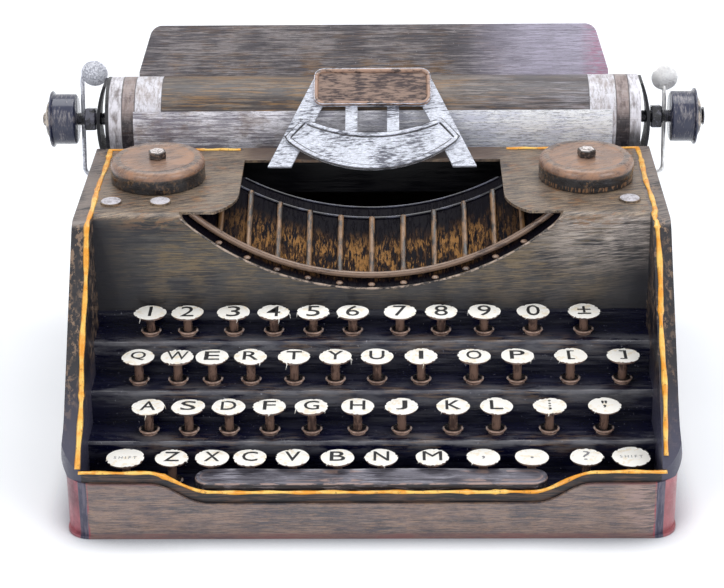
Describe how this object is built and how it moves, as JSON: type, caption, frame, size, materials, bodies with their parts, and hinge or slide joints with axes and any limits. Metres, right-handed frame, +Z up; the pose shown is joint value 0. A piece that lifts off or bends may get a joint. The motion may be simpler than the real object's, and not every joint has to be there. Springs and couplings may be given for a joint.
{
  "type": "typewriter",
  "caption": "Sheet-metal display typewriter with round sprung keys on a stepped deck, a fanned type basket, turning spool covers, a turning platen, side levers and a paper table.",
  "frame": {"origin": "middle of the flat underside", "axes": "+X to the right of someone typing, +Y from the keys back to the paper table, +Z up"},
  "size_m": [0.3064, 0.236, 0.1441],
  "materials": {
    "band_paint": "dry-brushed",
    "casing_paint": "dry-brushed gloss",
    "deck_paint": "gloss",
    "copper_paint": "satin",
    "bar_paint": "dry-brushed",
    "basket_paint": "gloss",
    "silver_paint": "dry-brushed",
    "knob_paint": "satin",
    "lever_paint": "stippled",
    "spool_paint": "satin",
    "key_paint": "matt"
  },
  "bodies": {
    "frame": {"base": "band_paint", "housing": "casing_paint", "key_deck": "deck_paint", "key_guides": "copper_paint", "type_basket": "basket_paint", "typebars": "copper_paint", "carriage_frame": "silver_paint", "type_guide": "silver_paint"},
    "platen": {"platen_roller": "silver_paint", "platen_shaft": "knob_paint"},
    "left_spool": {"left_spool_cover": "spool_paint"},
    "right_spool": {"right_spool_cover": "spool_paint"},
    "left_lever_wire": {"left_lever": "lever_paint"},
    "right_lever_wire": {"right_lever": "lever_paint"},
    "space_bar_body": {"space_bar": "bar_paint"},
    "shift_body": {"shift_keys": "key_paint"},
    "key_0_body": {"key_0": "key_paint"},
    "key_1_body": {"key_1": "key_paint"},
    "key_2_body": {"key_2": "key_paint"},
    "key_3_body": {"key_3": "key_paint"},
    "key_4_body": {"key_4": "key_paint"},
    "key_5_body": {"key_5": "key_paint"},
    "key_6_body": {"key_6": "key_paint"},
    "key_7_body": {"key_7": "key_paint"},
    "key_8_body": {"key_8": "key_paint"},
    "key_9_body": {"key_9": "key_paint"},
    "key_a_body": {"key_a": "key_paint"},
    "key_b_body": {"key_b": "key_paint"},
    "key_bracket_left_body": {"key_bracket_left": "key_paint"},
    "key_bracket_right_body": {"key_bracket_right": "key_paint"},
    "key_c_body": {"key_c": "key_paint"},
    "key_colon_body": {"key_colon": "key_paint"},
    "key_comma_body": {"key_comma": "key_paint"},
    "key_d_body": {"key_d": "key_paint"},
    "key_e_body": {"key_e": "key_paint"},
    "key_f_body": {"key_f": "key_paint"},
    "key_g_body": {"key_g": "key_paint"},
    "key_h_body": {"key_h": "key_paint"},
    "key_i_body": {"key_i": "key_paint"},
    "key_j_body": {"key_j": "key_paint"},
    "key_k_body": {"key_k": "key_paint"},
    "key_l_body": {"key_l": "key_paint"},
    "key_m_body": {"key_m": "key_paint"},
    "key_n_body": {"key_n": "key_paint"},
    "key_o_body": {"key_o": "key_paint"},
    "key_p_body": {"key_p": "key_paint"},
    "key_period_body": {"key_period": "key_paint"},
    "key_plus_minus_body": {"key_plus_minus": "key_paint"},
    "key_q_body": {"key_q": "key_paint"},
    "key_question_body": {"key_question": "key_paint"},
    "key_quote_body": {"key_quote": "key_paint"},
    "key_r_body": {"key_r": "key_paint"},
    "key_s_body": {"key_s": "key_paint"},
    "key_t_body": {"key_t": "key_paint"},
    "key_u_body": {"key_u": "key_paint"},
    "key_v_body": {"key_v": "key_paint"},
    "key_w_body": {"key_w": "key_paint"},
    "key_x_body": {"key_x": "key_paint"},
    "key_y_body": {"key_y": "key_paint"},
    "key_z_body": {"key_z": "key_paint"}
  },
  "joints": [
    {"name": "platen_turn", "type": "hinge", "parent": "frame", "child": "platen", "pos_m": [0, 0.067, 0.114], "axis": [1, 0, 0], "continuous": true},
    {"name": "left_spool_turn", "type": "hinge", "parent": "frame", "child": "left_spool", "pos_m": [-0.0935, 0.0035, 0.11], "axis": [0, 0, 1], "continuous": true},
    {"name": "right_spool_turn", "type": "hinge", "parent": "frame", "child": "right_spool", "pos_m": [0.0935, 0.0035, 0.11], "axis": [0, 0, 1], "continuous": true},
    {"name": "left_lever_swing", "type": "hinge", "parent": "frame", "child": "left_lever_wire", "pos_m": [-0.126, 0.066, 0.0865], "axis": [-1, 0, 0], "range_deg": [0, 15]},
    {"name": "right_lever_swing", "type": "hinge", "parent": "frame", "child": "right_lever_wire", "pos_m": [0.126, 0.066, 0.0865], "axis": [-1, 0, 0], "range_deg": [0, 15]},
    {"name": "bar_press", "type": "slide", "parent": "frame", "child": "space_bar_body", "axis": [0, 0, -1], "range_m": [0, 0.002], "stiffness_N_per_m": 150, "springref_m": -0.002},
    {"name": "caps_shift_press", "type": "slide", "parent": "frame", "child": "shift_body", "axis": [0, 0, -1], "range_m": [0, 0.003], "stiffness_N_per_m": 150, "springref_m": -0.002},
    {"name": "key_0_press", "type": "slide", "parent": "frame", "child": "key_0_body", "axis": [0, 0, -1], "range_m": [0, 0.003], "stiffness_N_per_m": 150, "springref_m": -0.002},
    {"name": "key_1_press", "type": "slide", "parent": "frame", "child": "key_1_body", "axis": [0, 0, -1], "range_m": [0, 0.003], "stiffness_N_per_m": 150, "springref_m": -0.002},
    {"name": "key_2_press", "type": "slide", "parent": "frame", "child": "key_2_body", "axis": [0, 0, -1], "range_m": [0, 0.003], "stiffness_N_per_m": 150, "springref_m": -0.002},
    {"name": "key_3_press", "type": "slide", "parent": "frame", "child": "key_3_body", "axis": [0, 0, -1], "range_m": [0, 0.003], "stiffness_N_per_m": 150, "springref_m": -0.002},
    {"name": "key_4_press", "type": "slide", "parent": "frame", "child": "key_4_body", "axis": [0, 0, -1], "range_m": [0, 0.003], "stiffness_N_per_m": 150, "springref_m": -0.002},
    {"name": "key_5_press", "type": "slide", "parent": "frame", "child": "key_5_body", "axis": [0, 0, -1], "range_m": [0, 0.003], "stiffness_N_per_m": 150, "springref_m": -0.002},
    {"name": "key_6_press", "type": "slide", "parent": "frame", "child": "key_6_body", "axis": [0, 0, -1], "range_m": [0, 0.003], "stiffness_N_per_m": 150, "springref_m": -0.002},
    {"name": "key_7_press", "type": "slide", "parent": "frame", "child": "key_7_body", "axis": [0, 0, -1], "range_m": [0, 0.003], "stiffness_N_per_m": 150, "springref_m": -0.002},
    {"name": "key_8_press", "type": "slide", "parent": "frame", "child": "key_8_body", "axis": [0, 0, -1], "range_m": [0, 0.003], "stiffness_N_per_m": 150, "springref_m": -0.002},
    {"name": "key_9_press", "type": "slide", "parent": "frame", "child": "key_9_body", "axis": [0, 0, -1], "range_m": [0, 0.003], "stiffness_N_per_m": 150, "springref_m": -0.002},
    {"name": "key_a_press", "type": "slide", "parent": "frame", "child": "key_a_body", "axis": [0, 0, -1], "range_m": [0, 0.003], "stiffness_N_per_m": 150, "springref_m": -0.002},
    {"name": "key_b_press", "type": "slide", "parent": "frame", "child": "key_b_body", "axis": [0, 0, -1], "range_m": [0, 0.0015], "stiffness_N_per_m": 150, "springref_m": -0.002},
    {"name": "key_bracket_left_press", "type": "slide", "parent": "frame", "child": "key_bracket_left_body", "axis": [0, 0, -1], "range_m": [0, 0.003], "stiffness_N_per_m": 150, "springref_m": -0.002},
    {"name": "key_bracket_right_press", "type": "slide", "parent": "frame", "child": "key_bracket_right_body", "axis": [0, 0, -1], "range_m": [0, 0.003], "stiffness_N_per_m": 150, "springref_m": -0.002},
    {"name": "key_c_press", "type": "slide", "parent": "frame", "child": "key_c_body", "axis": [0, 0, -1], "range_m": [0, 0.0015], "stiffness_N_per_m": 150, "springref_m": -0.002},
    {"name": "key_colon_press", "type": "slide", "parent": "frame", "child": "key_colon_body", "axis": [0, 0, -1], "range_m": [0, 0.003], "stiffness_N_per_m": 150, "springref_m": -0.002},
    {"name": "key_comma_press", "type": "slide", "parent": "frame", "child": "key_comma_body", "axis": [0, 0, -1], "range_m": [0, 0.0015], "stiffness_N_per_m": 150, "springref_m": -0.002},
    {"name": "key_d_press", "type": "slide", "parent": "frame", "child": "key_d_body", "axis": [0, 0, -1], "range_m": [0, 0.003], "stiffness_N_per_m": 150, "springref_m": -0.002},
    {"name": "key_e_press", "type": "slide", "parent": "frame", "child": "key_e_body", "axis": [0, 0, -1], "range_m": [0, 0.003], "stiffness_N_per_m": 150, "springref_m": -0.002},
    {"name": "key_f_press", "type": "slide", "parent": "frame", "child": "key_f_body", "axis": [0, 0, -1], "range_m": [0, 0.003], "stiffness_N_per_m": 150, "springref_m": -0.002},
    {"name": "key_g_press", "type": "slide", "parent": "frame", "child": "key_g_body", "axis": [0, 0, -1], "range_m": [0, 0.003], "stiffness_N_per_m": 150, "springref_m": -0.002},
    {"name": "key_h_press", "type": "slide", "parent": "frame", "child": "key_h_body", "axis": [0, 0, -1], "range_m": [0, 0.003], "stiffness_N_per_m": 150, "springref_m": -0.002},
    {"name": "key_i_press", "type": "slide", "parent": "frame", "child": "key_i_body", "axis": [0, 0, -1], "range_m": [0, 0.003], "stiffness_N_per_m": 150, "springref_m": -0.002},
    {"name": "key_j_press", "type": "slide", "parent": "frame", "child": "key_j_body", "axis": [0, 0, -1], "range_m": [0, 0.003], "stiffness_N_per_m": 150, "springref_m": -0.002},
    {"name": "key_k_press", "type": "slide", "parent": "frame", "child": "key_k_body", "axis": [0, 0, -1], "range_m": [0, 0.003], "stiffness_N_per_m": 150, "springref_m": -0.002},
    {"name": "key_l_press", "type": "slide", "parent": "frame", "child": "key_l_body", "axis": [0, 0, -1], "range_m": [0, 0.003], "stiffness_N_per_m": 150, "springref_m": -0.002},
    {"name": "key_m_press", "type": "slide", "parent": "frame", "child": "key_m_body", "axis": [0, 0, -1], "range_m": [0, 0.0015], "stiffness_N_per_m": 150, "springref_m": -0.002},
    {"name": "key_n_press", "type": "slide", "parent": "frame", "child": "key_n_body", "axis": [0, 0, -1], "range_m": [0, 0.0015], "stiffness_N_per_m": 150, "springref_m": -0.002},
    {"name": "key_o_press", "type": "slide", "parent": "frame", "child": "key_o_body", "axis": [0, 0, -1], "range_m": [0, 0.003], "stiffness_N_per_m": 150, "springref_m": -0.002},
    {"name": "key_p_press", "type": "slide", "parent": "frame", "child": "key_p_body", "axis": [0, 0, -1], "range_m": [0, 0.003], "stiffness_N_per_m": 150, "springref_m": -0.002},
    {"name": "key_period_press", "type": "slide", "parent": "frame", "child": "key_period_body", "axis": [0, 0, -1], "range_m": [0, 0.0015], "stiffness_N_per_m": 150, "springref_m": -0.002},
    {"name": "key_plus_minus_press", "type": "slide", "parent": "frame", "child": "key_plus_minus_body", "axis": [0, 0, -1], "range_m": [0, 0.003], "stiffness_N_per_m": 150, "springref_m": -0.002},
    {"name": "key_q_press", "type": "slide", "parent": "frame", "child": "key_q_body", "axis": [0, 0, -1], "range_m": [0, 0.003], "stiffness_N_per_m": 150, "springref_m": -0.002},
    {"name": "key_question_press", "type": "slide", "parent": "frame", "child": "key_question_body", "axis": [0, 0, -1], "range_m": [0, 0.0015], "stiffness_N_per_m": 150, "springref_m": -0.002},
    {"name": "key_quote_press", "type": "slide", "parent": "frame", "child": "key_quote_body", "axis": [0, 0, -1], "range_m": [0, 0.003], "stiffness_N_per_m": 150, "springref_m": -0.002},
    {"name": "key_r_press", "type": "slide", "parent": "frame", "child": "key_r_body", "axis": [0, 0, -1], "range_m": [0, 0.003], "stiffness_N_per_m": 150, "springref_m": -0.002},
    {"name": "key_s_press", "type": "slide", "parent": "frame", "child": "key_s_body", "axis": [0, 0, -1], "range_m": [0, 0.003], "stiffness_N_per_m": 150, "springref_m": -0.002},
    {"name": "key_t_press", "type": "slide", "parent": "frame", "child": "key_t_body", "axis": [0, 0, -1], "range_m": [0, 0.003], "stiffness_N_per_m": 150, "springref_m": -0.002},
    {"name": "key_u_press", "type": "slide", "parent": "frame", "child": "key_u_body", "axis": [0, 0, -1], "range_m": [0, 0.003], "stiffness_N_per_m": 150, "springref_m": -0.002},
    {"name": "key_v_press", "type": "slide", "parent": "frame", "child": "key_v_body", "axis": [0, 0, -1], "range_m": [0, 0.0015], "stiffness_N_per_m": 150, "springref_m": -0.002},
    {"name": "key_w_press", "type": "slide", "parent": "frame", "child": "key_w_body", "axis": [0, 0, -1], "range_m": [0, 0.003], "stiffness_N_per_m": 150, "springref_m": -0.002},
    {"name": "key_x_press", "type": "slide", "parent": "frame", "child": "key_x_body", "axis": [0, 0, -1], "range_m": [0, 0.0015], "stiffness_N_per_m": 150, "springref_m": -0.002},
    {"name": "key_y_press", "type": "slide", "parent": "frame", "child": "key_y_body", "axis": [0, 0, -1], "range_m": [0, 0.003], "stiffness_N_per_m": 150, "springref_m": -0.002},
    {"name": "key_z_press", "type": "slide", "parent": "frame", "child": "key_z_body", "axis": [0, 0, -1], "range_m": [0, 0.0015], "stiffness_N_per_m": 150, "springref_m": -0.002}
  ]
}
